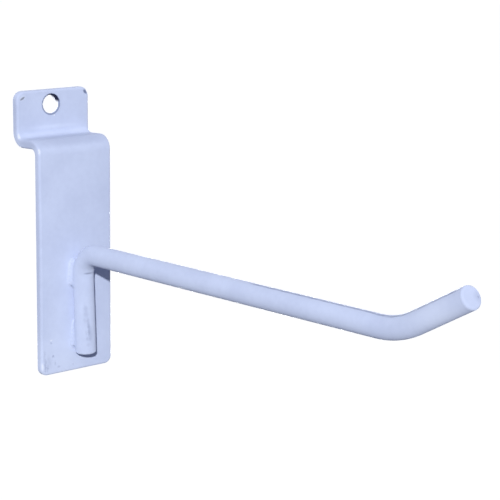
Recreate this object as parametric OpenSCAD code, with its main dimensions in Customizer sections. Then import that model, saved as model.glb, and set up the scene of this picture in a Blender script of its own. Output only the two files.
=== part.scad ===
// Slatwall hook.
// A flat steel bar is folded back and up again, so that its tongue tucks behind a slat's lip.
// A round bar is bent down at its root and welded to the plate along that leg, and it is bent
// up near its end to keep goods from sliding off.
// Sizes are in millimetres. +X runs across the plate, +Y goes into the wall and +Z is up.
// The origin is on the plate's back face, on its centreline, level with the arm.

/* [Back plate] */
// Width of the flat bar
plate_w = 25; // [20:0.5:60]
// Thickness of the flat bar
plate_t = 2.5; // [1.5:0.1:3]
// Rounding of the flat bar's long edges and ends
plate_edge_r = 0.7; // [0.2:0.05:0.7]
// Level of the plate's lower end, below the arm
plate_drop = 35.5; // [32:0.5:80]
// Corner radius at the plate's lower end
foot_corner_r = 2.2; // [1:0.1:6]

/* [Joggle and tongue] */
// Level of the shelf's middle, above the arm
shelf_rise = 31.2; // [20:0.1:60]
// Set-back of the tongue from the plate
tongue_setback = 10.7; // [9:0.1:16]
// Tilt of the shelf, rising to the front, in degrees
shelf_tilt = 2.4; // [0:0.2:8]
// Inside radius of the lower fold
lower_fold_r = 1.6; // [0.5:0.1:2]
// Inside radius of the upper fold
upper_fold_r = 1.8; // [0.5:0.1:2]
// Height of the tongue above the shelf's middle
tongue_h = 14.4; // [13:0.1:30]
// Corner radius at the tongue's top
tongue_corner_r = 2.6; // [1:0.1:6]

/* [Tongue hole] */
// Diameter of the hole
hole_d = 5.3; // [3:0.1:5.4]
// Hole's centre, below the tongue's top
hole_drop = 4.2; // [4:0.1:5]
// Hole's centre off the centreline, toward the left
hole_off = 0.85; // [0:0.05:2]
// Rounding of the hole's rims
hole_rim_r = 0.3; // [0.1:0.05:0.5]

/* [Round bar] */
// Diameter of the round bar
bar_d = 6; // [4:0.1:8]
// Length of the welded leg, from the arm's axis to its end
leg_l = 29.8; // [20:0.1:31]
// Arm's length, from the leg's axis to the corner of the upturn
arm_l = 125; // [60:1:400]
// Upturn's length, from its corner to the end
tip_l = 25.6; // [20:0.1:50]
// Slope of the arm, rising to the front, in degrees
arm_rise = 1.2; // [0:0.1:8]
// Angle of the upturn, in degrees
upturn = 28; // [10:1:45]
// Radius of the root bend, on the bar's axis
root_bend_r = 7; // [5:0.1:12]
// Radius of the upturn's bend, on the bar's axis
upturn_bend_r = 26.5; // [10:0.5:30]
// Lean of the whole bar on the plate, in degrees, as it was welded
bar_lean = 1.9; // [0:0.1:4]
// Rounding of the bar's cut ends
bar_end_r = 0.6; // [0.2:0.1:1]

/* [Welds] */
// Radius of an upper bead's largest drops
upper_bead_r = 1.15; // [0.8:0.05:1.4]
// Radius of a lower bead's largest drops
lower_bead_r = 1; // [0.8:0.05:1.4]
// Distance from one drop to the next
bead_pitch = 1; // [0.7:0.05:1.2]
// Drops in an upper bead
upper_drops = 7; // [3:1:8]
// Drops in a lower bead
lower_drops = 7; // [3:1:8]
// Level of an upper bead's top drop, below the arm
upper_bead_drop = 3; // [2.5:0.1:4]
// Level of a lower bead's lowest drop, above the leg's end
lower_bead_rise = 2.6; // [2:0.1:5]

/* [Hidden] */
$fn = 96;
PAINT = [0.80, 0.84, 0.95];
OVER = 1;
// How much a bend is thinner than the straight bar beside it, on each side
THIN = 0.01;
// How far a straight run reaches into the bend beside it
LAP = 0.04;
fold_a = 90 + shelf_tilt;
lower_mid_r = lower_fold_r + plate_t / 2;
upper_mid_r = upper_fold_r + plate_t / 2;
lower_tan = lower_mid_r * tan(fold_a / 2);
upper_tan = upper_mid_r * tan(fold_a / 2);
shelf_half_z = tongue_setback / 2 * tan(shelf_tilt);
main_l = plate_drop + shelf_rise + shelf_half_z - lower_tan;
shelf_l = tongue_setback / cos(shelf_tilt) - lower_tan - upper_tan;
tongue_l = tongue_h + shelf_half_z - upper_tan;
root_a = 90 - arm_rise;
root_tan = root_bend_r * tan(root_a / 2);
upturn_tan = upturn_bend_r * tan(upturn / 2);
bar_y = -plate_t - bar_d / 2;
// Share by which the smallest drop of a bead falls short of the largest
DROP_VARIES = 0.12;
// Turn, in degrees, that takes one drop's size to the next
DROP_TURN = 80;

// A rectangle with rounded corners
module soft_rectangle(w, h, r) {
    square([w - 2 * r, h], center = true);
    square([w, h - 2 * r], center = true);
    for (x = [-1, 1], y = [-1, 1])
        translate([x * (w / 2 - r), y * (h / 2 - r)]) circle(r);
}

// The section given, swept straight up, with a lap past each end that a bend joins
module run(l, lap_start = 0, lap_end = 0) {
    translate([0, 0, -lap_start]) linear_extrude(l + lap_start + lap_end) children();
}

// The section given, swept round a bend that turns from +Z toward -Y
module bend(r, a) {
    translate([0, -r, 0]) rotate([90, 0, 90]) rotate_extrude(angle = a)
        translate([r, 0]) rotate(90) children();
}

// Moves what follows to the end of a straight run
module after_run(l) {
    translate([0, 0, l]) children();
}

// Moves what follows to the end of a bend
module after_bend(r, a) {
    translate([0, -r, 0]) rotate([a, 0, 0]) translate([0, r, 0]) children();
}

// Half of the flat bar's section along a cut end that reaches l beyond its corners' centres
module end_section(l) {
    intersection() {
        soft_rectangle(2 * l, plate_t, plate_edge_r);
        translate([0, -plate_t]) square([l + OVER, 2 * plate_t]);
    }
}

// The flat bar's end above z = 0, with rounded corners and the same soft edge all round
module strip_end(r) {
    straight = plate_w - 2 * r;
    translate([-straight / 2, 0, 0]) rotate([90, -90, 90]) linear_extrude(straight) end_section(r);
    for (side = [0, 1]) mirror([side, 0, 0])
        translate([straight / 2, 0, 0]) rotate([90, 0, 0]) rotate_extrude(angle = 90) end_section(r);
}

module strip_section(thin = 0) {
    soft_rectangle(plate_w - 2 * thin, plate_t - 2 * thin, plate_edge_r - thin);
}

// The folded flat bar, from its lower end up to the tongue's top
module folded_strip() {
    translate([0, -plate_t / 2, -plate_drop]) {
        after_run(foot_corner_r) mirror([0, 0, 1]) strip_end(foot_corner_r);
        after_run(foot_corner_r) run(main_l - foot_corner_r, 0, LAP) strip_section();
        after_run(main_l) mirror([0, 1, 0]) {
            bend(lower_mid_r, fold_a) strip_section(THIN);
            after_bend(lower_mid_r, fold_a) {
                run(shelf_l, LAP, LAP) strip_section();
                after_run(shelf_l) mirror([0, 1, 0]) {
                    bend(upper_mid_r, fold_a) strip_section(THIN);
                    after_bend(upper_mid_r, fold_a) {
                        run(tongue_l - tongue_corner_r, LAP, 0) strip_section();
                        after_run(tongue_l - tongue_corner_r) strip_end(tongue_corner_r);
                    }
                }
            }
        }
    }
}

// What the hole takes out of the tongue, with a soft rim at each face
module hole_cut() {
    r = hole_d / 2;
    rotate([90, 0, 0]) rotate_extrude() {
        translate([0, -plate_t / 2 - OVER]) square([r, plate_t + 2 * OVER]);
        for (side = [0, 1]) mirror([0, side]) translate([0, plate_t / 2]) {
            difference() {
                translate([0, -hole_rim_r]) square([r + hole_rim_r, hole_rim_r]);
                translate([r + hole_rim_r, -hole_rim_r]) circle(hole_rim_r);
            }
            square([r + hole_rim_r, OVER]);
        }
    }
}

module back_plate() {
    color(PAINT) difference() {
        folded_strip();
        translate([-hole_off, tongue_setback - plate_t / 2, shelf_rise + tongue_h - hole_drop])
            hole_cut();
    }
}

// Puts its children in the bar's own frame, on the leg's axis and level with the arm
module on_bar() {
    translate([0, bar_y, 0]) rotate([0, -bar_lean, 0]) children();
}

module bar_section(thin = 0) {
    circle(bar_d / 2 - thin);
}

// A cut end of the bar above z = 0, with its rim rounded
module bar_end() {
    flat_r = bar_d / 2 - bar_end_r;
    rotate_extrude() {
        square([flat_r, bar_end_r]);
        intersection() {
            translate([flat_r, 0]) circle(bar_end_r);
            translate([flat_r, 0]) square(bar_end_r);
        }
    }
}

// The round bar, from the leg's end up, out along the arm and up to the tip
module bent_bar() {
    translate([0, 0, -leg_l]) {
        after_run(bar_end_r) mirror([0, 0, 1]) bar_end();
        after_run(bar_end_r) run(leg_l - root_tan - bar_end_r, 0, LAP) bar_section();
        after_run(leg_l - root_tan) {
            bend(root_bend_r, root_a) bar_section(THIN);
            after_bend(root_bend_r, root_a) {
                run(arm_l - root_tan - upturn_tan, LAP, LAP) bar_section();
                after_run(arm_l - root_tan - upturn_tan) mirror([0, 1, 0]) {
                    bend(upturn_bend_r, upturn) bar_section(THIN);
                    after_bend(upturn_bend_r, upturn) {
                        run(tip_l - upturn_tan - bar_end_r, LAP, 0) bar_section();
                        after_run(tip_l - upturn_tan - bar_end_r) bar_end();
                    }
                }
            }
        }
    }
}

module hook_rod() {
    color(PAINT) on_bar() bent_bar();
}

// Places of a bead's drops in the crevice between the bar and the plate's front:
// a little outside the bar's surface and a third of a drop's radius off the plate
function drop_lift(r) = r / 3;
function drop_side(r) = sqrt(pow(bar_d / 2 + r / 5, 2) - pow(bar_d / 2 - drop_lift(r), 2));
function drop_r(r, i) = r * (1 - DROP_VARIES * pow(sin(i * DROP_TURN), 2));

// A row of weld drops at the leg's side, from level z down
module weld_bead(side, r, z, drops) {
    color(PAINT) difference() {
        on_bar() for (i = [0 : drops - 1])
            translate([side * drop_side(r), bar_d / 2 - drop_lift(r), z - i * bead_pitch])
                sphere(drop_r(r, i));
        on_bar() bent_bar();
        translate([-plate_w / 2, -plate_t, -plate_drop])
            cube([plate_w, plate_t + OVER, plate_drop + shelf_rise]);
    }
}

module weld_upper(side) {
    weld_bead(side, upper_bead_r, -upper_bead_drop, upper_drops);
}

module weld_lower(side) {
    top = lower_bead_rise + (lower_drops - 1) * bead_pitch - leg_l;
    weld_bead(side, lower_bead_r, top, lower_drops);
}

module weld_upper_left() { weld_upper(-1); }
module weld_upper_right() { weld_upper(1); }
module weld_lower_left() { weld_lower(-1); }
module weld_lower_right() { weld_lower(1); }

back_plate();
hook_rod();
weld_upper_left();
weld_upper_right();
weld_lower_left();
weld_lower_right();
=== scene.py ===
"""Slatwall hook: the painted steel hook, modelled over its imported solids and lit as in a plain
product picture.

Blender works in metres in the row frame: +X across the plate, +Y into the wall, +Z up.
Sizes in the dataclasses are in millimetres, as on a drawing, and so are points unless a name
says otherwise.
"""

import logging
import math
from collections.abc import Callable
from dataclasses import dataclass
from enum import Enum
from typing import Any

import bpy
import numpy as np
from mathutils import Euler, Matrix, Vector, noise


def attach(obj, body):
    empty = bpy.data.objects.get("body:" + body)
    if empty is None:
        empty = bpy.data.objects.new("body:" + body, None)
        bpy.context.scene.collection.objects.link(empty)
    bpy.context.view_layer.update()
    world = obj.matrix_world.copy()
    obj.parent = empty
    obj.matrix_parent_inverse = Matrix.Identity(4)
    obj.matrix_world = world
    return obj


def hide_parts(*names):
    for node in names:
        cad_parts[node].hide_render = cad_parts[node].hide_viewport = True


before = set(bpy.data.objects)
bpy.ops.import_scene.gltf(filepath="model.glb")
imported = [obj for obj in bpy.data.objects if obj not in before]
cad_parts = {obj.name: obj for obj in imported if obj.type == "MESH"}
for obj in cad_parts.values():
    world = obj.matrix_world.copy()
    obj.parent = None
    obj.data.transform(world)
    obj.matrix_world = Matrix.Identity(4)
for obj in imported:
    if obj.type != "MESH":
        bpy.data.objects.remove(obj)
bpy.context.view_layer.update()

MM = 0.001
BODY = "root"
log = logging.getLogger("slatwall_hook")

Point = tuple[float, float, float]
Field = Callable[[np.ndarray], np.ndarray]


class Side(Enum):
    """Side of the leg, seen from the front, as the sign of its X."""

    LEFT = -1
    RIGHT = 1


class Level(Enum):
    """Place of a weld along the leg."""

    UPPER = "upper"
    LOWER = "lower"


def paint_rgb(red: int, green: int, blue: int) -> tuple[float, float, float, float]:
    """A screen colour, 0 to 255 a channel, as the linear colour that a shader takes.

    Args:
        red: Red channel.
        green: Green channel.
        blue: Blue channel.

    Returns:
        Linear red, green and blue, and an alpha of 1.
    """

    def linear(level: int) -> float:
        """One channel, from screen to linear."""
        share = level / 255
        return share / 12.92 if share <= 0.04045 else ((share + 0.055) / 1.055) ** 2.4

    return linear(red), linear(green), linear(blue), 1.0


def ripple(points: np.ndarray, pitch: float, seed: float) -> np.ndarray:
    """Smooth noise at each point.

    Args:
        points: Points, one a row.
        pitch: Rough distance from one crest to the next.
        seed: Moves the pattern.

    Returns:
        Values from about -1 to 1.
    """
    shift = Vector((seed, seed * 1.7, seed * 2.3))
    return np.array([noise.noise(Vector(p) / pitch + shift) for p in points])


def falloff(points: np.ndarray, centre: Point, reach: Point | float) -> np.ndarray:
    """A soft blob: 1 at the centre and 0 from its reach outward.

    Args:
        points: Points, one a row.
        centre: Its centre.
        reach: How far it reaches along X, Y and Z, or one reach for all.

    Returns:
        The blob's share at each point.
    """
    away = np.linalg.norm((points - np.array(centre)) / np.array(reach), axis=1)
    near = np.clip(1 - away, 0, 1)
    return near * near * (3 - 2 * near)


def stretch_away(points: np.ndarray, start: Point, end: Point) -> tuple[np.ndarray, np.ndarray]:
    """Places points against a line from start to end.

    Args:
        points: Points, one a row.
        start: The line's start.
        end: The line's end.

    Returns:
        Each point's distance from the line, and its share along it, from 0 to 1.
    """
    a = np.array(start)
    along = np.array(end) - a
    share = np.clip(((points - a) @ along) / (along @ along), 0, 1)
    return np.linalg.norm(points - a - share[:, None] * along, axis=1), share


class Mesh:
    """Points and faces being gathered into one skin."""

    def __init__(self) -> None:
        """Starts empty."""
        self.points: list[np.ndarray] = []
        self.faces: list[tuple[int, ...]] = []
        self.count = 0

    def add_points(self, points: np.ndarray) -> np.ndarray:
        """Adds points.

        Args:
            points: Points, one a row.

        Returns:
            Their indices.
        """
        self.points.append(np.asarray(points, float).reshape(-1, 3))
        start = self.count
        self.count += len(self.points[-1])
        return np.arange(start, self.count)

    def bridge(self, first: np.ndarray, second: np.ndarray) -> None:
        """Joins two closed rings of the same length with quads.

        Args:
            first: Indices of the ring that comes first.
            second: Indices of the next ring.
        """
        for a, b, c, d in zip(first, np.roll(first, -1), np.roll(second, -1), second):
            self.faces.append((int(a), int(b), int(c), int(d)))

    def close(self, ring: np.ndarray, middle: Point | np.ndarray) -> None:
        """Closes a ring with a fan of triangles.

        Args:
            ring: Indices of the ring.
            middle: The fan's middle point.
        """
        hub = int(self.add_points(np.array([middle]))[0])
        for a, b in zip(ring, np.roll(ring, -1)):
            self.faces.append((int(a), int(b), hub))

    def place(self, name: str, lift: Field | None, material: bpy.types.Material) -> bpy.types.Object:
        """Makes the object, smooth shaded, in metres.

        Args:
            name: The object's name.
            lift: How far each point moves out along its normal, from all the points.
            material: Its finish.

        Returns:
            The object.
        """
        points = np.vstack(self.points)
        data = bpy.data.meshes.new(name)
        data.from_pydata((points * MM).tolist(), [], self.faces)
        data.update()
        if lift is not None:
            normals = np.array([tuple(v.normal) for v in data.vertices])
            moved = (points + normals * lift(points)[:, None]) * MM
            data.vertices.foreach_set("co", moved.astype(np.float32).ravel())
            data.update()
        data.polygons.foreach_set("use_smooth", [True] * len(data.polygons))
        data.materials.append(material)
        made = bpy.data.objects.new(name, data)
        bpy.context.scene.collection.objects.link(made)
        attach(made, BODY)
        return made


class Wire:
    """An output socket, so that maths on values reads as a Python expression."""

    def __init__(self, tree: "ShaderTree", socket: bpy.types.NodeSocket) -> None:
        """Keeps the socket and the tree that it is in."""
        self.tree = tree
        self.socket = socket

    def _math(self, operation: str, *values: Any) -> "Wire":
        """Adds a Math node.

        Args:
            operation: The node's operation.
            values: Its inputs in order, each a wire or a number.

        Returns:
            The node's result.
        """
        return self.tree.add("ShaderNodeMath", {"operation": operation}, dict(enumerate(values)))

    def __add__(self, other: Any) -> "Wire":
        """self + other."""
        return self._math("ADD", self, other)

    def __radd__(self, other: Any) -> "Wire":
        """other + self."""
        return self._math("ADD", other, self)

    def __sub__(self, other: Any) -> "Wire":
        """self - other."""
        return self._math("SUBTRACT", self, other)

    def __rsub__(self, other: Any) -> "Wire":
        """other - self."""
        return self._math("SUBTRACT", other, self)

    def __mul__(self, other: Any) -> "Wire":
        """self * other."""
        return self._math("MULTIPLY", self, other)

    def __rmul__(self, other: Any) -> "Wire":
        """other * self."""
        return self._math("MULTIPLY", other, self)

    def larger(self, other: Any) -> "Wire":
        """The larger of self and other."""
        return self._math("MAXIMUM", self, other)

    def band(self, low: float, high: float) -> "Wire":
        """A soft step: 0 below low, 1 above high, and the reverse where low is above high.

        Args:
            low: Value at which it is 0.
            high: Value at which it is 1.

        Returns:
            The step.
        """
        return self.tree.add(
            "ShaderNodeMapRange",
            {"interpolation_type": "SMOOTHSTEP"},
            {"Value": self, "From Min": low, "From Max": high},
        )


class ShaderTree:
    """A node tree under construction."""

    def __init__(self, nodes: bpy.types.NodeTree) -> None:
        """Starts with the tree emptied."""
        self.nodes = nodes
        nodes.nodes.clear()

    def add(
        self,
        kind: str,
        settings: dict[str, Any] | None = None,
        sockets: dict[Any, Any] | None = None,
        out: str | int = 0,
    ) -> Wire | None:
        """Adds any node.

        Args:
            kind: The node's type.
            settings: Its own settings, set first. "stops" fills a ramp with pairs of place and
                colour.
            sockets: Input name or index to a wire, a number, a colour or a vector.
            out: Name or index of the output that is wanted.

        Returns:
            That output, or None for a node without one.
        """
        node = self.nodes.nodes.new(kind)
        for name, value in (settings or {}).items():
            if name == "stops":
                self._fill_ramp(node.color_ramp.elements, value)
            else:
                setattr(node, name, value)
        for key, value in (sockets or {}).items():
            if isinstance(value, Wire):
                self.nodes.links.new(value.socket, node.inputs[key])
            else:
                node.inputs[key].default_value = value
        return Wire(self, node.outputs[out]) if node.outputs else None

    @staticmethod
    def _fill_ramp(elements: Any, stops: list[tuple[float, Any]]) -> None:
        """Gives a ramp its stops.

        Args:
            elements: The ramp's elements.
            stops: Pairs of place and colour, in order.
        """
        while len(elements) < len(stops):
            elements.new(1.0)
        for element, (place, colour) in zip(elements, stops):
            element.position = place
            element.color = colour

    def blend(self, share: Any, first: Any, second: Any) -> Wire:
        """Mixes two colours: first where share is 0 and second where it is 1."""
        return self.add("ShaderNodeMix", {"data_type": "RGBA"}, {0: share, 6: first, 7: second}, out=2)


class StainAndPaintedLight(Enum):
    """What a mark on the paint is, with its colour on the screen. The same colours serve real chips,
    scratches, scuffs and smears and also painted light: the dark and grey colours paint shade in some marks,
    and the pale and white colours paint highlights in some marks.
    """

    # Bare steel in chips and scratches, and also deep painted shade on the unlit part of the hole's wall.
    BARE_STEEL_AND_DEEP_SHADE = (34, 38, 66)
    # Painted shade in creases, under the arm and in the weld craters, and also small dark chips and spots.
    SHADE_AND_DARK_SPOT = (104, 116, 150)
    # Grey: scuffs and smears, and also painted shade on faces and edges that turn from the light.
    GREY = (150, 160, 190)
    # Pale and white: the halo round a chip, and also painted highlights and painted light on folds, rims,
    # bends and the tip.
    PALE = (222, 231, 250)
    WHITE = (250, 251, 255)

    @property
    def rgb(self) -> tuple[float, float, float, float]:
        """Its linear colour."""
        return paint_rgb(*self.value)


@dataclass(frozen=True)
class Mark:
    """A mark on the paint: a soft ellipsoid around a place on the surface."""

    # The mark's colour: a real chip, scuff or smear, and for many marks painted shade or a painted
    # highlight.
    stain_and_light: StainAndPaintedLight
    centre: Point
    reach: Point
    turn: Point = (0.0, 0.0, 0.0)
    strength: float = 1.0
    softness: float = 0.6
    ragged: float = 0.12

    def mask(self, tree: ShaderTree, place: Wire) -> Wire:
        """How much of the mark each point has.

        Args:
            tree: The material's tree.
            place: The point, in millimetres, already jittered.

        Returns:
            From 0 outside the mark to its strength in it.
        """
        own = tree.add(
            "ShaderNodeMapping",
            {"vector_type": "TEXTURE"},
            {
                "Vector": place,
                "Location": self.centre,
                "Rotation": tuple(math.radians(a) for a in self.turn),
                "Scale": self.reach,
            },
        )
        away = tree.add("ShaderNodeVectorMath", {"operation": "LENGTH"}, {0: own}, out="Value")
        return away.band(1.0, 1.0 - self.softness) * self.strength


@dataclass(frozen=True)
class RimMark(Mark):
    """A mark that runs round the wall of a hole along Y, or round a part of it.

    Its centre is on the hole's axis, and its reach is (across the wall, along Y, unused).
    """

    hoop: float = 2.65
    gate: Point | None = None
    gate_reach: float = 2.0

    def mask(self, tree: ShaderTree, place: Wire) -> Wire:
        """How much of the mark each point has, as a plain mark gives it."""
        x, y, z = self.centre
        flat = tree.add(
            "ShaderNodeVectorMath",
            {"operation": "MULTIPLY_ADD"},
            {0: place, 1: (1, 0, 1), 2: (-x, 0, -z)},
        )
        from_axis = tree.add("ShaderNodeVectorMath", {"operation": "LENGTH"}, {0: flat}, out="Value")
        depth = tree.add(
            "ShaderNodeVectorMath", {"operation": "DOT_PRODUCT"}, {0: place, 1: (0, 1, 0)}, out="Value"
        )
        across = (from_axis - self.hoop) * (1 / self.reach[0])
        along = (depth - y) * (1 / self.reach[1])
        ring = (across * across + along * along).band(1.0, 1.0 - self.softness) * self.strength
        if self.gate is None:
            return ring
        opening = Mark(self.stain_and_light, self.gate, (self.gate_reach,) * 3, softness=0.35)
        return ring * opening.mask(tree, place)


@dataclass(frozen=True)
class PowderPaint:
    """Pale powder paint as it lies on one piece."""

    name: str
    # Real chips, scratches, scuffs and smears, and also marks that paint shade and highlights.
    marks: tuple[Mark, ...] = ()
    pale: tuple[int, int, int] = (196, 206, 232)
    deep: tuple[int, int, int] = (188, 198, 225)
    roughness_low: float = 0.42
    roughness_high: float = 0.6
    chalkiness: float = 0.4
    shine: float = 0.1
    peel_pitch: float = 0.9
    peel_depth: float = 0.012

    def material(self) -> bpy.types.Material:
        """Builds the paint.

        Returns:
            The material.
        """
        made = bpy.data.materials.new(self.name)
        made.use_nodes = True
        tree = ShaderTree(made.node_tree)
        metres = tree.add("ShaderNodeTexCoord", out="Object")
        place = tree.add("ShaderNodeVectorMath", {"operation": "SCALE"}, {0: metres, "Scale": 1 / MM})
        cloud = tree.add("ShaderNodeTexNoise", {}, {"Vector": place, "Scale": 0.1, "Detail": 3.0})
        grime = tree.add("ShaderNodeTexNoise", {}, {"Vector": place, "Scale": 0.7, "Detail": 4.0})
        peel = tree.add(
            "ShaderNodeTexNoise", {}, {"Vector": place, "Scale": 1 / self.peel_pitch, "Detail": 2.0}
        )
        colour = tree.blend(
            (cloud * 0.7 + grime * 0.3).band(0.3, 0.7), paint_rgb(*self.deep), paint_rgb(*self.pale)
        )
        height = peel
        # Only the bare-steel marks go into this mask, the hole's deep painted shade among them, and it dents
        # the bump.
        wear_and_painted_light = None
        for ragged in sorted({mark.ragged for mark in self.marks}):
            jitter = tree.add(
                "ShaderNodeTexNoise", {}, {"Vector": place, "Scale": 2.5, "Detail": 3.0}, out="Color"
            )
            shift = tree.add(
                "ShaderNodeVectorMath",
                {"operation": "MULTIPLY_ADD"},
                {0: jitter, 1: (2 * ragged,) * 3, 2: (-ragged,) * 3},
            )
            moved = tree.add("ShaderNodeVectorMath", {"operation": "ADD"}, {0: place, 1: shift})
            # Each mark blends its colour in, real marks and painted shade and highlights alike.
            for mark in (m for m in self.marks if m.ragged == ragged):
                mask = mark.mask(tree, moved)
                colour = tree.blend(mask, colour, mark.stain_and_light.rgb)
                if mark.stain_and_light is StainAndPaintedLight.BARE_STEEL_AND_DEEP_SHADE:
                    wear_and_painted_light = mask if wear_and_painted_light is None else wear_and_painted_light.larger(mask)
        if wear_and_painted_light is not None:
            height = peel - wear_and_painted_light * 3.0
        bump = tree.add(
            "ShaderNodeBump",
            {},
            {"Strength": 0.5, "Distance": self.peel_depth * MM, "Height": height},
        )
        rough = grime * (self.roughness_high - self.roughness_low) + self.roughness_low
        shader = tree.add(
            "ShaderNodeBsdfPrincipled",
            {},
            {
                "Base Color": colour,
                "Roughness": rough,
                "Diffuse Roughness": self.chalkiness,
                "Specular IOR Level": self.shine,
                "Normal": bump,
            },
        )
        tree.add("ShaderNodeOutputMaterial", {}, {"Surface": shader})
        return made


@dataclass
class BackPlate:
    """The folded flat bar: main face, joggle and tongue with its hole."""

    width: float = 25.0
    thick: float = 2.5
    edge_r: float = 0.7
    drop: float = 35.5
    foot_corner_r: float = 2.2
    shelf_rise: float = 31.2
    setback: float = 10.7
    shelf_tilt: float = 2.4
    lower_fold_r: float = 1.6
    upper_fold_r: float = 1.8
    tongue_h: float = 14.4
    tongue_corner_r: float = 2.6
    hole_d: float = 5.3
    hole_drop: float = 4.2
    hole_off: float = 0.85
    hole_room: float = 3.6
    rim_r: float = 0.3
    border: float = 0.85
    cell: float = 0.45
    fine_cell: float = 0.22
    round_steps: int = 7

    def __post_init__(self) -> None:
        """Works out the lengths along the bar's middle."""
        self.fold = math.radians(90 + self.shelf_tilt)
        self.lower_r = self.lower_fold_r + self.thick / 2
        self.upper_r = self.upper_fold_r + self.thick / 2
        lower_tan = self.lower_r * math.tan(self.fold / 2)
        upper_tan = self.upper_r * math.tan(self.fold / 2)
        rise = self.setback / 2 * math.tan(math.radians(self.shelf_tilt))
        main = self.drop + self.shelf_rise + rise - lower_tan
        shelf = self.setback / math.cos(math.radians(self.shelf_tilt)) - lower_tan - upper_tan
        tongue = self.tongue_h + rise - upper_tan
        lengths = (main, self.lower_r * self.fold, shelf, self.upper_r * self.fold, tongue)
        self.marks = np.concatenate([[0.0], np.cumsum(lengths)])
        self.length = float(self.marks[-1])

    def _middle(self, s: np.ndarray) -> tuple[np.ndarray, np.ndarray, np.ndarray]:
        """The bar's middle line at each length s.

        Args:
            s: Lengths from the lower end.

        Returns:
            Its Y, its Z and its turn from straight up toward the wall.
        """
        m = self.marks
        turn = np.clip((s - m[1]) / self.lower_r, 0, self.fold)
        turn = turn - np.clip((s - m[3]) / self.upper_r, 0, self.fold)
        y = np.full_like(s, -self.thick / 2)
        z = -self.drop + np.minimum(s, m[1])
        first = np.clip((s - m[1]) / self.lower_r, 0, self.fold)
        y = y + self.lower_r * (1 - np.cos(first))
        z = z + self.lower_r * np.sin(first)
        flat = np.clip(s - m[2], 0, m[3] - m[2])
        y = y + flat * math.sin(self.fold)
        z = z + flat * math.cos(self.fold)
        second = np.clip((s - m[3]) / self.upper_r, 0, self.fold)
        y = y + self.upper_r * (np.cos(self.fold - second) - math.cos(self.fold))
        z = z + self.upper_r * (math.sin(self.fold) - np.sin(self.fold - second))
        z = z + np.maximum(s - m[4], 0)
        return y, z, turn

    def at(self, x: np.ndarray, s: np.ndarray, lift: np.ndarray | float) -> np.ndarray:
        """Points of the folded bar.

        Args:
            x: Places across the bar.
            s: Lengths along it.
            lift: Heights off its middle, toward its front.

        Returns:
            Points, one a row.
        """
        y, z, turn = self._middle(s)
        return np.stack([x, y - lift * np.cos(turn), z + lift * np.sin(turn)], axis=1)

    def _lines(self, stops: list[tuple[float, float]]) -> np.ndarray:
        """Grid lines from one stop to the next.

        Args:
            stops: Pairs of place and the cell size that holds up to the next stop.

        Returns:
            The lines' places.
        """
        lines = [np.array([stops[0][0]])]
        for (a, cell), (b, _) in zip(stops, stops[1:]):
            lines.append(np.linspace(a, b, max(1, round((b - a) / cell)) + 1)[1:])
        return np.concatenate(lines)

    def _sheet(self) -> tuple[np.ndarray, list[tuple[int, int, int, int]]]:
        """The flat bar's front as a grid, trimmed to its corners and hole.

        Returns:
            Flat points (x, s), and quads between them.
        """
        half = self.width / 2 - self.border
        end = self.length - self.border
        m = self.marks
        foot, top = self.width / 2 - self.foot_corner_r, self.width / 2 - self.tongue_corner_r
        xs = self._lines(
            [
                (-half, self.fine_cell),
                (-foot, self.fine_cell),
                (-top, self.fine_cell),
                (-half + 3.4, self.cell),
                (-self.hole_off - self.hole_room, self.fine_cell),
                (-self.hole_off + self.hole_room, self.cell),
                (top, self.fine_cell),
                (foot, self.fine_cell),
                (half, 0),
            ]
        )
        ss = self._lines(
            [
                (self.border, self.fine_cell),
                (self.foot_corner_r, self.fine_cell),
                (self.border + 7, self.cell),
                (m[1], self.fine_cell),
                (m[2], self.cell),
                (m[3], self.fine_cell),
                (m[4], self.cell),
                (end - 7.2, self.fine_cell),
                (self.length - self.tongue_corner_r, self.fine_cell),
                (end, 0),
            ]
        )
        grid = np.stack(np.meshgrid(xs, ss, indexing="ij"), axis=-1)
        rows, columns = len(xs), len(ss)
        centre = (grid[:-1, :-1] + grid[1:, 1:]) / 2
        keep = ~self._outside(centre)
        index = np.arange(rows * columns).reshape(rows, columns)
        quads = np.stack([index[:-1, :-1], index[1:, :-1], index[1:, 1:], index[:-1, 1:]], axis=-1)[keep]
        points = grid.reshape(-1, 2).copy()
        edges: dict[tuple[int, int], int] = {}
        for quad in quads.tolist():
            for a, b in zip(quad, quad[1:] + quad[:1]):
                key = (min(a, b), max(a, b))
                edges[key] = edges.get(key, 0) + 1
        rim = sorted({v for edge, uses in edges.items() if uses == 1 for v in edge})
        points[rim] = self._snap(points[rim])
        used = np.unique(quads)
        renumber = np.full(len(points), -1)
        renumber[used] = np.arange(len(used))
        return points[used], [tuple(int(v) for v in renumber[q]) for q in quads]

    def _corners(self) -> list[tuple[float, float, float, int, int]]:
        """Centres (x, s), inset radii and outward signs of the four flat corners."""
        found = []
        for side in (-1, 1):
            for end, r in ((-1, self.foot_corner_r), (1, self.tongue_corner_r)):
                s = r if end < 0 else self.length - r
                found.append((side * (self.width / 2 - r), s, r - self.border, side, end))
        return found

    def _hole_centre(self) -> tuple[float, float]:
        """The hole's centre (x, s) on the flat bar."""
        return -self.hole_off, self.length - self.hole_drop

    def _outside(self, flat: np.ndarray) -> np.ndarray:
        """Whether flat points are beyond the rounded corners or in the hole."""
        x, s = flat[..., 0], flat[..., 1]
        hx, hs = self._hole_centre()
        out = np.hypot(x - hx, s - hs) < self.hole_d / 2 + self.rim_r
        for cx, cs, r, side, end in self._corners():
            there = ((x - cx) * side > 0) & ((s - cs) * end > 0)
            out |= there & (np.hypot(x - cx, s - cs) > r)
        return out

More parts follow.
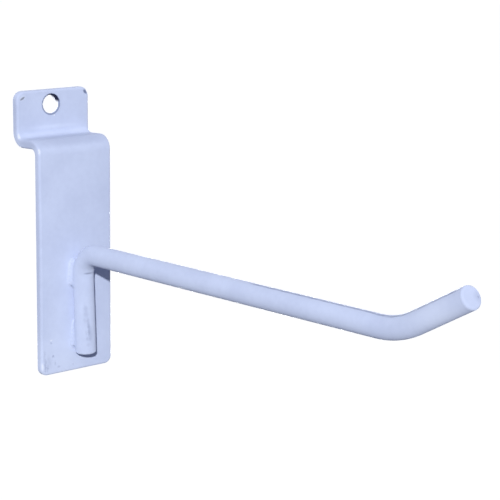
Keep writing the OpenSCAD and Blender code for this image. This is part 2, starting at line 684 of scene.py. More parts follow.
    def _snap(self, flat: np.ndarray) -> np.ndarray:
        """Rim points moved onto the corners' arcs and the hole's circle."""
        snapped = flat.copy()
        hx, hs = self._hole_centre()
        circle = self.hole_d / 2 + self.rim_r
        away = np.hypot(flat[:, 0] - hx, flat[:, 1] - hs)
        near = away < circle + self.fine_cell
        scale = circle / away[near]
        snapped[near] = np.array([hx, hs]) + (flat[near] - np.array([hx, hs])) * scale[:, None]
        for cx, cs, r, side, end in self._corners():
            there = ((flat[:, 0] - cx) * side > 1e-6) & ((flat[:, 1] - cs) * end > 1e-6)
            offset = flat[there] - np.array([cx, cs])
            snapped[there] = np.array([cx, cs]) + offset * (r / np.linalg.norm(offset, axis=1))[:, None]
        return snapped

    def _rims(self, quads: list[tuple[int, int, int, int]]) -> list[list[int]]:
        """The open rims of a sheet, each in order against its quads' winding."""
        edges = {(a, b) for q in quads for a, b in zip(q, q[1:] + q[:1])}
        follow = {b: a for a, b in edges if (b, a) not in edges}
        rims = []
        while follow:
            start, here = follow.popitem()
            rim = [start]
            while here != start:
                rim.append(here)
                here = follow.pop(here)
            rims.append(rim)
        return sorted(rims, key=len, reverse=True)

    def _outward(self, flat: np.ndarray) -> np.ndarray:
        """The direction out of the flat bar at each point of its rim."""
        half = self.width / 2 - self.border
        out = np.zeros_like(flat)
        out[:, 0] = np.where(np.isclose(np.abs(flat[:, 0]), half), np.sign(flat[:, 0]), 0)
        out[:, 1] = np.where(np.isclose(flat[:, 1], self.border), -1, out[:, 1])
        out[:, 1] = np.where(np.isclose(flat[:, 1], self.length - self.border), 1, out[:, 1])
        for cx, cs, r, side, end in self._corners():
            there = ((flat[:, 0] - cx) * side > 1e-6) & ((flat[:, 1] - cs) * end > 1e-6)
            out[there] = (flat[there] - np.array([cx, cs])) / r
        return out / np.linalg.norm(out, axis=1)[:, None]

    def _profile(self, radius: float) -> list[tuple[float, float]]:
        """A soft edge from the front face to the back face.

        Args:
            radius: Its rounding.

        Returns:
            Pairs of distance short of the wall and height off the bar's middle.
        """
        turns = [math.pi / 2 * i / self.round_steps for i in range(self.round_steps + 1)]
        top = self.thick / 2 - radius
        front = [(radius * (1 - math.sin(t)), top + radius * math.cos(t)) for t in turns]
        wall = [(0.0, top * share) for share in (0.5, 0.0, -0.5)]
        return front + wall + [(short, -lift) for short, lift in reversed(front)]

    def build(self, material: bpy.types.Material) -> bpy.types.Object:
        """Models the bar.

        Args:
            material: Its paint.

        Returns:
            The object.
        """
        flat, quads = self._sheet()
        mesh = Mesh()
        front = mesh.add_points(self.at(flat[:, 0], flat[:, 1], self.thick / 2))
        back = mesh.add_points(self.at(flat[:, 0], flat[:, 1], -self.thick / 2))
        mesh.faces += [tuple(int(front[v]) for v in q) for q in quads]
        mesh.faces += [tuple(int(back[v]) for v in reversed(q)) for q in quads]
        edge_rim, hole_rim = self._rims(quads)
        out = self._outward(flat[edge_rim])
        ring = front[edge_rim]
        for short, lift in self._profile(self.edge_r):
            place = flat[edge_rim] + out * (self.border - short)
            following = mesh.add_points(self.at(place[:, 0], place[:, 1], lift))
            mesh.bridge(ring, following)
            ring = following
        mesh.bridge(ring, back[edge_rim])
        centre = np.array(self._hole_centre())
        toward = (centre - flat[hole_rim]) / (self.hole_d / 2 + self.rim_r)
        ring = front[hole_rim]
        for short, lift in self._profile(self.rim_r)[1:-1]:
            place = flat[hole_rim] + toward * (self.rim_r - short)
            following = mesh.add_points(self.at(place[:, 0], place[:, 1], lift))
            mesh.bridge(ring, following)
            ring = following
        mesh.bridge(ring, back[hole_rim])
        made = mesh.place("painted_plate", self._relief, material)
        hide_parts("back_plate")
        return made

    def wear_and_painted_light(self) -> tuple[Mark, ...]:
        """The plate's marks: scratches, chips and scuffs; painted shade on its right side, its shelf, its
        top and bottom edges, its side faces and round the hole's front rim; painted highlights on its lower
        left, its upper fold, its left bends, its foot corner and beside the hole; and the hole's wall,
        painted near white where lit and dark where unlit.
        """
        half = self.width / 2
        face = -self.thick
        front = self.setback - self.thick
        hole_x = -self.hole_off
        hole_z = self.shelf_rise + self.tongue_h - self.hole_drop
        marks = [
            # Painted shade: the plate's right side darker than its left, as the light falls.
            Mark(StainAndPaintedLight.GREY, (half + 2.5, face, 2.0), (17, 9, 60), (0, 0, 0), 0.22, 1.0, 0.5),
            # Painted shade on the shelf's top and its inner fold, which face away from the light.
            Mark(StainAndPaintedLight.GREY, (0, 3.4, self.shelf_rise + 0.2), (26, 7.4, 2.2), (0, 0, 0), 0.42, 0.5, 0.4),
            # Painted shade: thin dark lines along the plate's bottom edge and the tongue's top edge.
            Mark(StainAndPaintedLight.GREY, (0, face / 2, -self.drop - 0.6), (18, 3, 0.9), (0, 0, 0), 0.4, 0.7, 0.2),
            Mark(StainAndPaintedLight.GREY, (0, front + 1.25, 46.2), (18, 3, 0.9), (0, 0, 0), 0.35, 0.7, 0.2),
            # Painted light: the plate lighter toward its lower left.
            Mark(StainAndPaintedLight.PALE, (-6.0, face, -32.0), (13, 4, 20), (0, 0, 0), 0.2, 1.0, 0.5),
            Mark(StainAndPaintedLight.PALE, (-10.6, front, 43.75), (1.6, 0.8, 1.1), (0, -28, 0), 0.35, 0.8),
            Mark(StainAndPaintedLight.BARE_STEEL_AND_DEEP_SHADE, (-10.6, front, 43.62), (1.15, 0.5, 0.42), (0, -28, 0), 1.0, 0.6, 0.06),
            Mark(StainAndPaintedLight.SHADE_AND_DARK_SPOT, (half - 1.15, front, 44.15), (1.2, 0.9, 0.7), (0, 35, 0), 0.85, 0.6),
            # Painted highlights: two light dots on the burr beside the hole's rim.
            Mark(StainAndPaintedLight.WHITE, (1.63, front, 40.48), (0.3, 0.4, 0.3), strength=0.9),
            Mark(StainAndPaintedLight.WHITE, (0.2, front, 38.13), (0.3, 0.4, 0.3), strength=0.8),
            # Painted highlight on the edge at the foot's left corner.
            Mark(StainAndPaintedLight.WHITE, (-12.1, face + 0.2, -32.7), (0.5, 0.8, 1.7), strength=0.42, softness=0.9),
            Mark(StainAndPaintedLight.WHITE, (-9.1, face, -25.2), (0.7, 0.8, 0.4), strength=0.35, softness=0.9),
            # Painted highlights on the left edge where it runs round the two folds.
            Mark(StainAndPaintedLight.WHITE, (-12.2, 7.8, 33.0), (0.5, 0.9, 1.3), (0, 0, 0), 0.4, 0.9, 0.4),
            Mark(StainAndPaintedLight.WHITE, (-12.2, -2.2, 30.1), (0.5, 0.7, 1.5), (0, 0, 0), 0.45, 0.9, 0.4),
            # Painted highlight along the fold above the shelf.
            Mark(StainAndPaintedLight.PALE, (0, front - 0.2, 35.0), (11.5, 1.2, 1.0), (0, 0, 0), 0.35, 1.0, 0.4),
            # Painted light: the hole's wall painted near white where the light falls on it.
            RimMark(StainAndPaintedLight.WHITE, (hole_x, front + 1.5, hole_z), (0.8, 1.35, 0), strength=0.95, softness=0.3),
            # Painted shade: a dark ring on the front face round the hole's rim.
            RimMark(StainAndPaintedLight.SHADE_AND_DARK_SPOT, (hole_x, front, hole_z), (0.3, 0.4, 0), strength=0.7, hoop=2.9),
            # The hole's upper right wall: dark bare steel, and also painted shade where the wall is unlit.
            RimMark(
                StainAndPaintedLight.BARE_STEEL_AND_DEEP_SHADE,
                (hole_x, front + 0.6, hole_z),
                (0.6, 0.9, 0),
                softness=0.35,
                gate=(hole_x + 1.15, front + 0.5, hole_z + 2.4),
                gate_reach=2.75,
            ),
        ]
        # Painted shade on the side faces of the main plate and the tongue, which turn from the light.
        for side in (-1, 1):
            x = side * (half + 0.7)
            marks.append(Mark(StainAndPaintedLight.GREY, (x, face / 2, -3), (1.3, 3.4, 45), (0, 0, 0), 0.35, 0.7, 0.3))
            x = side * (half + 0.5)
            marks.append(
                Mark(StainAndPaintedLight.GREY, (x, front + 1.25, 39), (1.1, 2.4, 12), (0, 0, 0), 0.35, 0.7, 0.3)
            )
        scuffs = (
            (-11.5, -29.4, 0.5, 2.4, 5, 0.3),
            (-11.2, -31.6, 0.7, 1.9, -3, 0.45),
            (-11.15, -33.3, 0.5, 1.6, 0, 0.65),
            (-10.4, -33.2, 0.45, 1.7, 3, 0.6),
            (-9.7, -31.6, 1.2, 2.9, -12, 0.22),
            (-8.5, -30.1, 0.65, 0.45, 0, 0.75),
            (-7.7, -32.1, 0.4, 1.1, -4, 0.4),
            (-6.5, -33.4, 0.8, 0.45, -15, 0.5),
            (-9.1, -26.0, 0.4, 0.38, 0, 0.7),
            (-1.5, -33.6, 0.4, 0.35, 0, 0.6),
        )
        for x, z, wide, tall, turn, strength in scuffs:
            marks.append(
                Mark(StainAndPaintedLight.GREY, (x, face, z), (wide, 0.8, tall), (0, turn, 0), strength, 0.9, 0.7)
            )
        return tuple(marks)

    def _relief(self, points: np.ndarray) -> np.ndarray:
        """How far the paint and the dents lift each point.

        Args:
            points: Points of the bare bar.

        Returns:
            Heights along the normals.
        """
        front_y = self.setback - self.thick
        lift = 0.014 * ripple(points, 7.0, 3.1) + 0.006 * ripple(points, 1.6, 8.4)
        foot = falloff(points, (-10.6, -2.5, -31.8), (3.6, 4.0, 4.6))
        stretched = points * np.array([1.0, 1.0, 0.45])
        lift += foot * (0.09 * ripple(stretched, 0.9, 5.2) - 0.02)
        lift += 0.10 * falloff(points, (-12.2, -2.3, -33.0), (1.2, 2.0, 2.2))
        lift += self._hole_burr(points, front_y)
        lift -= 0.22 * falloff(points, (11.7, front_y, 44.1), (1.3, 1.2, 1.0))
        away, share = stretch_away(points, (-11.3, front_y, 43.25), (-9.8, front_y, 44.05))
        groove = np.exp(-((away / 0.16) ** 2)) - 0.6 * np.exp(-(((away - 0.38) / 0.16) ** 2))
        lift -= 0.07 * groove * np.sin(np.pi * np.clip(share * 0.9 + 0.05, 0, 1))
        return lift

    def _hole_burr(self, points: np.ndarray, front_y: float) -> np.ndarray:
        """The low burr that the punch left round the hole's right and lower rim."""
        hx = -self.hole_off
        hz = self.shelf_rise + self.tongue_h - self.hole_drop
        across, up = points[:, 0] - hx, points[:, 2] - hz
        away = np.hypot(across, up)
        ring = np.exp(-(((away - self.hole_d / 2 - 0.55) / 0.3) ** 2))
        around = np.clip((across - up) / np.maximum(away, 1e-6) / 1.2, 0, 1)
        at_front = np.abs(points[:, 1] - front_y) < 0.4
        return 0.07 * ring * around * at_front


@dataclass
class HookRod:
    """The round bar: welded leg, root bend, arm, upturn and tip."""

    diameter: float = 6.0
    leg: float = 29.8
    arm: float = 125.0
    tip: float = 25.6
    rise: float = 1.2
    upturn: float = 28.0
    root_r: float = 7.0
    upturn_r: float = 26.5
    lean: float = 1.9
    end_r: float = 0.6
    plate_thick: float = 2.5
    around: int = 72
    fine_step: float = 0.35
    step: float = 0.9

    def __post_init__(self) -> None:
        """Works out the lengths along the bar's axis."""
        self.root_turn = math.radians(90 - self.rise)
        self.tip_turn = math.radians(self.upturn)
        root_tan = self.root_r * math.tan(self.root_turn / 2)
        tip_tan = self.upturn_r * math.tan(self.tip_turn / 2)
        lengths = (
            self.leg - root_tan,
            self.root_r * self.root_turn,
            self.arm - root_tan - tip_tan,
            self.upturn_r * self.tip_turn,
            self.tip - tip_tan,
        )
        self.marks = np.concatenate([[0.0], np.cumsum(lengths)])

    def _axis(self, s: float) -> tuple[np.ndarray, float]:
        """The bar's axis at length s from the leg's end, before the lean.

        Args:
            s: The length.

        Returns:
            Its (y, z), and its turn from straight up toward the front.
        """
        m = self.marks
        y, z, turn = 0.0, -self.leg + min(s, m[1]), 0.0
        turn = min(max((s - m[1]) / self.root_r, 0), self.root_turn)
        y -= self.root_r * (1 - math.cos(turn))
        z += self.root_r * math.sin(turn)
        flat = min(max(s - m[2], 0), m[3] - m[2])
        y -= flat * math.sin(self.root_turn)
        z += flat * math.cos(self.root_turn)
        back = min(max((s - m[3]) / self.upturn_r, 0), self.tip_turn)
        y -= self.upturn_r * (math.cos(self.root_turn - back) - math.cos(self.root_turn))
        z += self.upturn_r * (math.sin(self.root_turn) - math.sin(self.root_turn - back))
        turn -= back
        rest = max(s - m[4], 0)
        y -= rest * math.sin(turn)
        z += rest * math.cos(turn)
        return np.array([y, z]), turn

    def ring(self, s: float, radius: float) -> np.ndarray:
        """Points round the bar.

        Args:
            s: Length from the leg's end.
            radius: Distance from the axis.

        Returns:
            Points, one a row, in the row frame.
        """
        (y, z), turn = self._axis(s)
        angles = np.linspace(0, 2 * math.pi, self.around, endpoint=False)
        across = -radius * np.cos(angles)
        over = radius * np.sin(angles)
        local = np.stack([across, y - over * math.cos(turn), z - over * math.sin(turn)], axis=1)
        return self._leaned(local)

    def _leaned(self, local: np.ndarray) -> np.ndarray:
        """Points in the bar's own frame, leaned and set against the plate."""
        lean = math.radians(self.lean)
        x = local[:, 0] * math.cos(lean) - local[:, 2] * math.sin(lean)
        z = local[:, 0] * math.sin(lean) + local[:, 2] * math.cos(lean)
        y = local[:, 1] - self.plate_thick - self.diameter / 2
        return np.stack([x, y, z], axis=1)

    def distance(self, points: np.ndarray) -> np.ndarray:
        """Signed distance to the leg and the root bend, negative inside.

        Args:
            points: Points, one a row.

        Returns:
            The distances.
        """
        axis = np.array([self.ring(s, 0.0)[0] for s in np.arange(0, self.marks[2], 0.5)])
        nearest = np.full(len(points), np.inf)
        for a, b in zip(axis, axis[1:]):
            nearest = np.minimum(nearest, stretch_away(points, a, b)[0])
        return nearest - self.diameter / 2

    def _stations(self) -> list[tuple[float, float]]:
        """Pairs of length and radius from one cut end to the other."""
        m, r, e = self.marks, self.diameter / 2, self.end_r
        flat = r - e
        turns = [math.pi / 2 * i / 8 for i in range(9)]
        foot = [(e * (1 - math.sin(t)), flat + e * math.sin(math.pi / 2 - t)) for t in reversed(turns)]
        discs = [(0.0, flat * share) for share in (0.2, 0.45, 0.7, 0.88)]
        runs = []
        for a, b, step in (
            (e, m[1], 0.5),
            (m[1], m[2], self.fine_step),
            (m[2], m[3], self.step),
            (m[3], m[4], 0.5),
            (m[4], m[5] - e, 0.5),
        ):
            count = max(1, round((b - a) / step))
            runs += [(a + (b - a) * i / count, r) for i in range(1, count + 1)]
        start = discs + [(e * (1 - math.cos(t)), flat + e * math.sin(t)) for t in turns]
        finish = [(m[5] - s, radius) for s, radius in reversed(start)]
        return start + runs[:-1] + finish

    def build(self, material: bpy.types.Material) -> bpy.types.Object:
        """Models the bar.

        Args:
            material: Its paint.

        Returns:
            The object.
        """
        mesh = Mesh()
        rings = [mesh.add_points(self.ring(s, radius)) for s, radius in self._stations()]
        for first, second in zip(rings, rings[1:]):
            mesh.bridge(first, second)
        mesh.close(rings[0][::-1], self.ring(0.0, 0.0)[0])
        mesh.close(rings[-1], self.ring(float(self.marks[-1]), 0.0)[0])
        made = mesh.place("painted_rod", self._relief, material)
        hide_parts("hook_rod")
        return made

    def spot(self, s: float, degrees: float) -> Point:
        """A place on the bar's skin.

        Args:
            s: Length from the leg's end.
            degrees: Turn round the axis: 0 is the -X side, 90 the leg's front and the arm's
                underside, and 270 the leg's back and the arm's top.

        Returns:
            The place in the row frame.
        """
        ring = self.ring(s, self.diameter / 2)
        return tuple(float(v) for v in ring[round(degrees / 360 * self.around) % self.around])

    def wear_and_painted_light(self) -> tuple[Mark, ...]:
        """The bar's marks: smears on the leg; painted shade and a painted highlight at the creased root
        bend; a painted highlight on the leg's cut end; a dark line along the top of the arm; and painted
        light and shade on the tip and its cut end, with a small dark spot there.
        """
        marks = [
            Mark(StainAndPaintedLight.GREY, (0.6, -8.2, -23.4), (1.0, 1.4, 4.2), (0, -6, 0), 0.4, 1.0, 0.5),
            # Painted shade under the arm at the root bend.
            Mark(StainAndPaintedLight.SHADE_AND_DARK_SPOT, (1.2, -8.3, -3.6), (2.6, 1.8, 1.3), (0, 10, 0), 0.4, 1.0, 0.25),
            # Painted highlight on the crease's ridge, and painted shade in the groove below it.
            Mark(StainAndPaintedLight.PALE, (0.1, -8.4, -4.6), (1.0, 0.9, 0.5), (0, 0, 0), 0.9, 0.8, 0.1),
            Mark(StainAndPaintedLight.SHADE_AND_DARK_SPOT, (-0.2, -8.4, -5.5), (2.1, 0.9, 0.45), (0, -3, 0), 0.6, 0.9, 0.12),
            # Painted highlight round the rim of the leg's cut end.
            Mark(StainAndPaintedLight.PALE, (0.98, -5.5, -29.2), (3.4, 3.4, 0.4), (0, 0, 0), 0.6, 1.0, 0.1),
        ]
        for x, z, wide, tall, strength in (
            (-0.95, -15.9, 0.9, 1.7, 0.36),
            (-0.8, -17.7, 1.1, 1.5, 0.34),
            (-1.15, -19.4, 0.6, 1.3, 0.28),
            (-0.3, -19.6, 0.7, 1.4, 0.42),
            (-0.1, -21.3, 0.65, 1.6, 0.62),
            (0.05, -23.1, 0.55, 1.6, 0.66),
            (-0.75, -23.2, 0.4, 1.1, 0.3),
            (0.2, -24.9, 0.8, 1.2, 0.36),
            (-0.5, -24.9, 0.5, 1.1, 0.3),
            (-0.1, -26.7, 0.9, 0.9, 0.22),
            (-1.8, -26.7, 0.5, 0.7, 0.35),
        ):
            marks.append(
                Mark(StainAndPaintedLight.GREY, (x, -8.2, z), (wide, 1.8, tall), (0, -8, 0), strength, 0.9, 0.35)
            )
        # A row of dark marks along the top of the arm and the upturn.
        m = self.marks
        step = 5.0
        start = m[2] + 0.62 * (m[3] - m[2])
        for i in range(int((m[5] - 1.5 - start) / step) + 1):
            s = start + i * step
            tilt = math.degrees(self._axis(s)[1]) - 90
            degrees = 274 + 24 * min(1, max(0, (s - m[3]) / (m[4] - m[3])))
            marks.append(
                Mark(StainAndPaintedLight.SHADE_AND_DARK_SPOT, self.spot(s, degrees), (0.6, 4.6, 0.8), (tilt, 0, 0), 0.65, 0.9, 0.15)
            )
        # Painted shade: a dark ring just behind the rim of the tip's cut end.
        end = self.ring(float(m[5]) - 0.9, 0.0)[0]
        tip_turn = math.degrees(self._axis(float(m[5]))[1])
        marks.append(
            Mark(StainAndPaintedLight.GREY, tuple(end.tolist()), (3.9, 3.9, 0.3), (tip_turn, 0, 0), 0.6, 0.8, 0.08)
        )
        # Painted light: the middle of the tip lighter on its left side.
        tip_middle = self.spot(float(m[4] + m[5]) / 2, 20)
        marks.append(Mark(StainAndPaintedLight.PALE, tip_middle, (4, 14, 9), (0, 0, 0), 0.3, 1.0, 0.3))
        # Painted shade on the right part of the tip's cut end, and a small dark spot there.
        face = self.ring(float(m[5]), 1.9)
        right = tuple(face[round(self.around * 0.47)].tolist())
        marks.append(Mark(StainAndPaintedLight.GREY, right, (1.9, 1.6, 2.6), (0, 0, 0), 0.35, 0.9, 0.3))
        marks.append(Mark(StainAndPaintedLight.SHADE_AND_DARK_SPOT, right, (0.25, 0.5, 0.45), (0, 0, 0), 0.5, 0.8, 0.1))
        return tuple(marks)

    def _relief(self, points: np.ndarray) -> np.ndarray:
        """How far the paint, the bends' wrinkles and the dents lift each point.

        Args:
            points: Points of the bare bar.

        Returns:
            Heights along the normals.
        """
        lift = 0.016 * ripple(points, 9.0, 1.4) + 0.005 * ripple(points, 1.5, 6.6)
        away, share = stretch_away(points, (-1.8, -8.5, -4.7), (2.3, -8.5, -5.3))
        fade = np.sin(np.pi * np.clip(share, 0.02, 0.98))
        lift += fade * (0.10 * np.exp(-(((away) / 0.45) ** 2)))
        below, share = stretch_away(points, (-1.8, -8.5, -5.6), (2.3, -8.5, -6.2))
        lift -= 0.09 * np.exp(-((below / 0.4) ** 2)) * np.sin(np.pi * np.clip(share, 0.02, 0.98))
        inner = falloff(points, self.spot((self.marks[3] + self.marks[4]) / 2, 275), (2.6, 8.0, 3.5))
        lift += 0.035 * inner * np.sin(points[:, 1] * 2 * np.pi / 1.7)
        return lift


@dataclass
class WeldBead:
    """One short bead of weld in the crevice between the leg and the plate, painted over.

    It is a row of drops that flow into each other, the leg and the plate. The drops grow from
    the top of the bead to its foot, where the arc left a crater.
    """

    side: Side
    level: Level
    rod: HookRod
    radius: float
    top: float
    drops: int = 7
    pitch: float = 1.0
    top_share: float = 0.7
    foot_share: float = 1.1
    crater_r: float = 0.42
    voxel: float = 0.13
    sink: float = 0.3
    blend: float = 0.8
    skirt: float = 0.7

    @property
    def node(self) -> str:
        """The solid that the bead stands for."""
        return f"weld_{self.level.value}_{self.side.name.lower()}"

    def _lumps(self) -> list[tuple[np.ndarray, float]]:
        """Centre and radius of each drop, nearer the leg where the bar starts to bend away."""
        lean = math.tan(math.radians(self.rod.lean))
        bar_r = self.rod.diameter / 2
        out = math.sqrt((bar_r + self.radius / 5) ** 2 - (bar_r - self.radius / 3) ** 2)
        found = []
        for i in range(self.drops):
            z = self.top - i * self.pitch
            down = i / (self.drops - 1)
            share = self.top_share + (self.foot_share - self.top_share) * down
            ripple_share = 1 - 0.1 * math.sin(math.radians(80 * i)) ** 2
            r = self.radius * share * ripple_share * 0.96
            x = -z * lean + self.side.value * out * (0.8 + 0.2 * min(1.0, 2 * down))
            lift = self.radius / 3 * (2.2 - 1.2 * min(1.0, 2 * down))
            found.append((np.array([x, -self.rod.plate_thick - lift, z]), r))
        return found

    def _crater(self) -> Point:
        """The crater's centre, on the outer skin just below the last drop's middle."""
        centre, r = self._lumps()[-1]
        return (
            float(centre[0]) + self.side.value * 0.55 * r,
            float(centre[1]) - 0.35 * r,
            float(centre[2]) - 0.85 * r,
        )

    def wear_and_painted_light(self) -> tuple[Mark, ...]:
        """Painted shade in the crater's pit."""
        return (Mark(StainAndPaintedLight.SHADE_AND_DARK_SPOT, self._crater(), (0.62, 0.7, 0.48), strength=0.45),)

    def _depth(self, points: np.ndarray) -> np.ndarray:
        """Signed distance to the painted weld.

        Args:
            points: Points, one a row.

        Returns:
            Negative inside.
        """
        leg = self.rod.distance(points)
        plate = -self.rod.plate_thick - points[:, 1]
        metal = np.full(len(points), 1e3)
        for centre, r in self._lumps():
            metal = self._flow(metal, np.linalg.norm(points - centre, axis=1) - r, 0.8)
        pit = np.linalg.norm(points - np.array(self._crater()), axis=1) - self.crater_r
        metal = -self._flow(-metal, pit, 0.25)
        metal = metal + 0.05 * np.sin(points[:, 2] * 5.3) * np.sin(points[:, 0] * 3.1 + points[:, 1] * 4.0)
        weld = self._flow(self._flow(metal, leg, self.blend), plate, self.blend)
        return np.maximum(np.maximum(weld, -np.minimum(leg, plate) - self.sink), metal - self.skirt)

    @staticmethod
    def _flow(a: np.ndarray, b: np.ndarray, width: float) -> np.ndarray:
        """The smaller of two distances, flowing into each other over a width."""
        share = np.clip(width - np.abs(a - b), 0, None) / width
        return np.minimum(a, b) - share * share * width / 4

    def build(self, material: bpy.types.Material) -> bpy.types.Object:
        """Models the bead.

        Args:
            material: Its paint.

        Returns:
            The object.
        """
        centres = np.array([centre for centre, _ in self._lumps()])
        room = 2.2 * self.radius
        mesh = surface_net(self._depth, centres.min(axis=0) - room, centres.max(axis=0) + room, self.voxel)
        made = mesh.place(f"painted_{self.node}", None, material)
        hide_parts(self.node)
        return made


def join_corners(values: np.ndarray, filled: float = -1e-3) -> None:
    """Fills samples where solid and air would touch only at a corner, so that no edge of the net
    is shared by more than two faces.

    Args:
        values: Signed distances on a grid, negative inside, changed in place.
        filled: Distance that a filled sample gets.
    """
    mixed = True
    while mixed:
        mixed = False
        for plane in ((0, 1), (0, 2), (1, 2)):
            shifts = np.zeros((4, 3), int)
            shifts[:, plane[0]] = (0, 1, 1, 0)
            shifts[:, plane[1]] = (0, 0, 1, 1)
            inside = []
            for shift in shifts:
                room = np.array(values.shape) - shifts.max(axis=0)
                inside.append(values[tuple(slice(a, a + n) for a, n in zip(shift, room))] < 0)
            a, b, c, d = inside
            for place in np.argwhere((a == c) & (b == d) & (a != b)):
                corners = [tuple(place + shift) for shift in shifts]
                signs = [values[corner] < 0 for corner in corners]
                if signs[0] == signs[2] and signs[1] == signs[3] and signs[0] != signs[1]:
                    air = [corner for corner, solid in zip(corners, signs) if not solid]
                    values[min(air, key=lambda corner: values[corner])] = filled
                    mixed = True


def surface_net(depth: Field, low: np.ndarray, high: np.ndarray, step: float) -> Mesh:
    """Skins a solid that is given by its signed distance.

    Args:
        depth: Signed distance of points, negative inside.
        low: Lowest corner of the room that holds it.
        high: Highest corner.
        step: The net's cell.

    Returns:
        A closed mesh of quads.
    """
    counts = np.ceil((high - low) / step).astype(int) + 1
    axes = [low[i] + step * np.arange(counts[i]) for i in range(3)]
    grid = np.stack(np.meshgrid(*axes, indexing="ij"), axis=-1)
    values = depth(grid.reshape(-1, 3)).reshape(grid.shape[:3])
    join_corners(values)
    cells = counts - 1
    total = np.zeros((*cells, 3))
    crossings = np.zeros(cells)
    for axis in range(3):
        first = [slice(None)] * 3
        second = [slice(None)] * 3
        first[axis] = slice(0, -1)
        second[axis] = slice(1, None)
        a, b = values[tuple(first)], values[tuple(second)]
        crossed = (a < 0) != (b < 0)
        share = np.where(crossed, a / np.where(a == b, 1, a - b), 0)
        point = grid[tuple(first)].copy()
        point[..., axis] += share * step
        others = [i for i in range(3) if i != axis]
        for du in (0, 1):
            for dv in (0, 1):
                cut = [slice(None)] * 3
                cut[others[0]] = slice(du, du + cells[others[0]])
                cut[others[1]] = slice(dv, dv + cells[others[1]])
                hit = crossed[tuple(cut)]
                total += np.where(hit[..., None], point[tuple(cut)], 0)
                crossings += hit
    used = crossings > 0
    index = np.full(cells, -1)
    index[used] = np.arange(int(used.sum()))
    mesh = Mesh()
    mesh.add_points(total[used] / crossings[used][:, None])
    for axis in range(3):
        others = [(axis + 1) % 3, (axis + 2) % 3]
        inner = [slice(None)] * 3
        outer = [slice(None)] * 3
        inner[axis], outer[axis] = slice(0, -1), slice(1, None)
        a, b = values[tuple(inner)], values[tuple(outer)]
        for place in np.argwhere((a < 0) != (b < 0)):
            if place[others[0]] == 0 or place[others[1]] == 0:
                continue
            around = []
            for du, dv in ((0, 0), (1, 0), (1, 1), (0, 1)):
                cell = place.copy()
                cell[others[0]] -= du
                cell[others[1]] -= dv
                around.append(int(index[tuple(cell)]))
            if a[tuple(place)] > 0:
                around.reverse()
            mesh.faces.append(tuple(around))
    return mesh


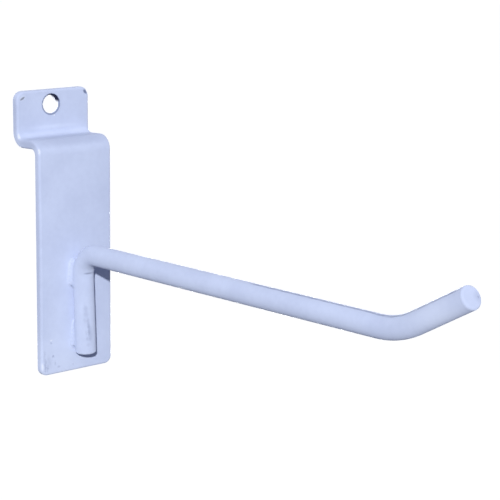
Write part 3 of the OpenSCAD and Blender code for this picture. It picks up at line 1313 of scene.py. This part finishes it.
@dataclass
class Studio:
    """Floor, light and camera of a plain product picture."""

    camera_place: Point = (-285.09, -398.47, 104.97)
    camera_azimuth: float = -41.635
    camera_elevation: float = 12.097
    camera_roll: float = 0.808
    focal_pixels: float = 1724.4
    frame_pixels: float = 500
    sensor: float = 36.0
    key_azimuth: float = -38.9
    key_elevation: float = 22.0
    key_width: float = 90
    key_power: float = 75
    rear_azimuth: float = 138.4
    rear_elevation: float = -12
    rear_width: float = 1000
    rear_power: float = 92
    lamp_aim: Point = (0, -5.5, -15)
    lamp_distance: float = 2700
    fill_level: float = 0.24
    fill_tint: tuple[float, float, float, float] = (0.86, 0.93, 1.28, 1)
    lamp_tint: tuple[float, float, float] = (1.0, 0.995, 0.955)
    floor_level: float = -1200
    floor_size: float = 60000

    def build(self) -> None:
        """Builds floor, light and camera."""
        bpy.context.scene.view_settings.view_transform = "Standard"
        self._floor()
        self._world()
        self._lamp("key", self.key_azimuth, self.key_elevation, self.key_width, self.key_power)
        self._lamp("rear", self.rear_azimuth, self.rear_elevation, self.rear_width, self.rear_power)
        self._camera()
        log.info("studio built")

    @staticmethod
    def _back(azimuth: float, elevation: float) -> Vector:
        """The direction from the object toward a camera or a lamp.

        Args:
            azimuth: Degrees round from -Y toward +X.
            elevation: Degrees above the horizon.

        Returns:
            A unit vector.
        """
        a = math.radians(azimuth)
        e = math.radians(elevation)
        return Vector((math.sin(a) * math.cos(e), -math.cos(a) * math.cos(e), math.sin(e)))

    def _floor(self) -> None:
        """A pale floor, far below a hook that hangs on a wall."""
        half = self.floor_size / 2 * MM
        level = self.floor_level * MM
        mesh = bpy.data.meshes.new("floor")
        corners = [(-half, -half, level), (half, -half, level), (half, half, level), (-half, half, level)]
        mesh.from_pydata(corners, [], [(0, 1, 2, 3)])
        floor = bpy.data.objects.new("floor", mesh)
        bpy.context.scene.collection.objects.link(floor)
        material = bpy.data.materials.new("floor_white")
        material.use_nodes = True
        tree = ShaderTree(material.node_tree)
        camera_ray = tree.add("ShaderNodeLightPath", out="Is Camera Ray")
        diffuse = tree.add("ShaderNodeBsdfDiffuse", {}, {"Color": (0.3, 0.31, 0.34, 1)})
        glow = tree.add("ShaderNodeEmission", {}, {"Color": (1, 1, 1, 1), "Strength": 0.95})
        nothing = tree.add("ShaderNodeEmission", {}, {"Strength": 0.0})
        lift = tree.add("ShaderNodeMixShader", {}, {0: camera_ray, 1: nothing, 2: glow})
        both = tree.add("ShaderNodeAddShader", {}, {0: diffuse, 1: lift})
        tree.add("ShaderNodeOutputMaterial", {}, {"Surface": both})
        mesh.materials.append(material)

    def _world(self) -> None:
        """Soft light from all round, which the camera sees as plain white."""
        world = bpy.data.worlds.new("white_room")
        bpy.context.scene.world = world
        world.use_nodes = True
        tree = ShaderTree(world.node_tree)
        camera, glossy, through = (
            tree.add("ShaderNodeLightPath", out=ray)
            for ray in ("Is Camera Ray", "Is Glossy Ray", "Is Transmission Ray")
        )
        fill = tree.add(
            "ShaderNodeBackground", {}, {"Color": self.fill_tint, "Strength": self.fill_level}
        )
        white = tree.add("ShaderNodeBackground", {}, {"Color": (1, 1, 1, 1), "Strength": 1.0})
        seen = camera.larger(glossy).larger(through)
        mixed = tree.add("ShaderNodeMixShader", {}, {0: seen, 1: fill, 2: white})
        tree.add("ShaderNodeOutputWorld", {}, {"Surface": mixed})

    def _lamp(self, name: str, azimuth: float, elevation: float, width: float, power: float) -> None:
        """A round lamp that the camera doesn't see.

        Args:
            name: The lamp's name.
            azimuth: Degrees round from -Y toward +X.
            elevation: Degrees above the horizon.
            width: Its diameter.
            power: Its power in watts.
        """
        light = bpy.data.lights.new(name, "AREA")
        light.shape = "DISK"
        light.size = width * MM
        light.energy = power
        light.color = self.lamp_tint
        lamp = bpy.data.objects.new(name, light)
        bpy.context.scene.collection.objects.link(lamp)
        back = self._back(azimuth, elevation)
        lamp.location = (Vector(self.lamp_aim) + back * self.lamp_distance) * MM
        lamp.rotation_euler = back.to_track_quat("Z", "Y").to_euler()
        lamp.visible_camera = False

    def _camera(self) -> None:
        """The camera, at the picture's place, direction and roll."""
        data = bpy.data.cameras.new("camera")
        data.sensor_width = self.sensor
        data.lens = self.focal_pixels * self.sensor / self.frame_pixels
        camera = bpy.data.objects.new("camera", data)
        bpy.context.scene.collection.objects.link(camera)
        ahead = -self._back(self.camera_azimuth, self.camera_elevation)
        right = ahead.cross(Vector((0, 0, 1))).normalized()
        up = right.cross(ahead)
        roll = math.radians(self.camera_roll)
        rolled_right = math.cos(roll) * right + math.sin(roll) * up
        rolled_up = -math.sin(roll) * right + math.cos(roll) * up
        turn = Matrix((rolled_right, rolled_up, -ahead)).transposed().to_4x4()
        camera.matrix_world = Matrix.Translation(Vector(self.camera_place) * MM) @ turn
        bpy.context.scene.camera = camera


@dataclass
class SlatwallHook:
    """The whole hook."""

    upper_radius: float = 1.15
    upper_top: float = -3.0
    lower_radius: float = 1.0
    lower_top: float = -21.2

    def build(self) -> None:
        """Models and paints every piece."""
        plate = BackPlate()
        rod = HookRod()
        plate.build(PowderPaint("plate_powder_paint", plate.wear_and_painted_light()).material())
        log.info("back plate modelled")
        rod.build(PowderPaint("rod_powder_paint", rod.wear_and_painted_light()).material())
        log.info("hook rod modelled")
        for bead in self._beads(rod):
            bead.build(PowderPaint(f"{bead.node}_powder_paint", bead.wear_and_painted_light()).material())
            log.info("weld modelled: %s", bead.node)

    def _beads(self, rod: HookRod) -> list[WeldBead]:
        """The four beads."""
        beads = []
        for side in Side:
            beads.append(WeldBead(side, Level.UPPER, rod, self.upper_radius, self.upper_top))
            beads.append(WeldBead(side, Level.LOWER, rod, self.lower_radius, self.lower_top))
        return beads


def clear_startup() -> None:
    """Removes the cube, camera and lamp that a new Blender file may come with."""
    for name in ("Cube", "Camera", "Light"):
        startup = bpy.data.objects.get(name)
        if startup is not None:
            bpy.data.objects.remove(startup)
            log.info("startup object removed: %s", name)


def main() -> None:
    """Builds the hook and its studio."""
    logging.basicConfig(level=logging.INFO, format="%(name)s: %(message)s")
    clear_startup()
    SlatwallHook().build()
    Studio().build()
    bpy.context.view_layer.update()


if __name__ == "__main__":
    main()
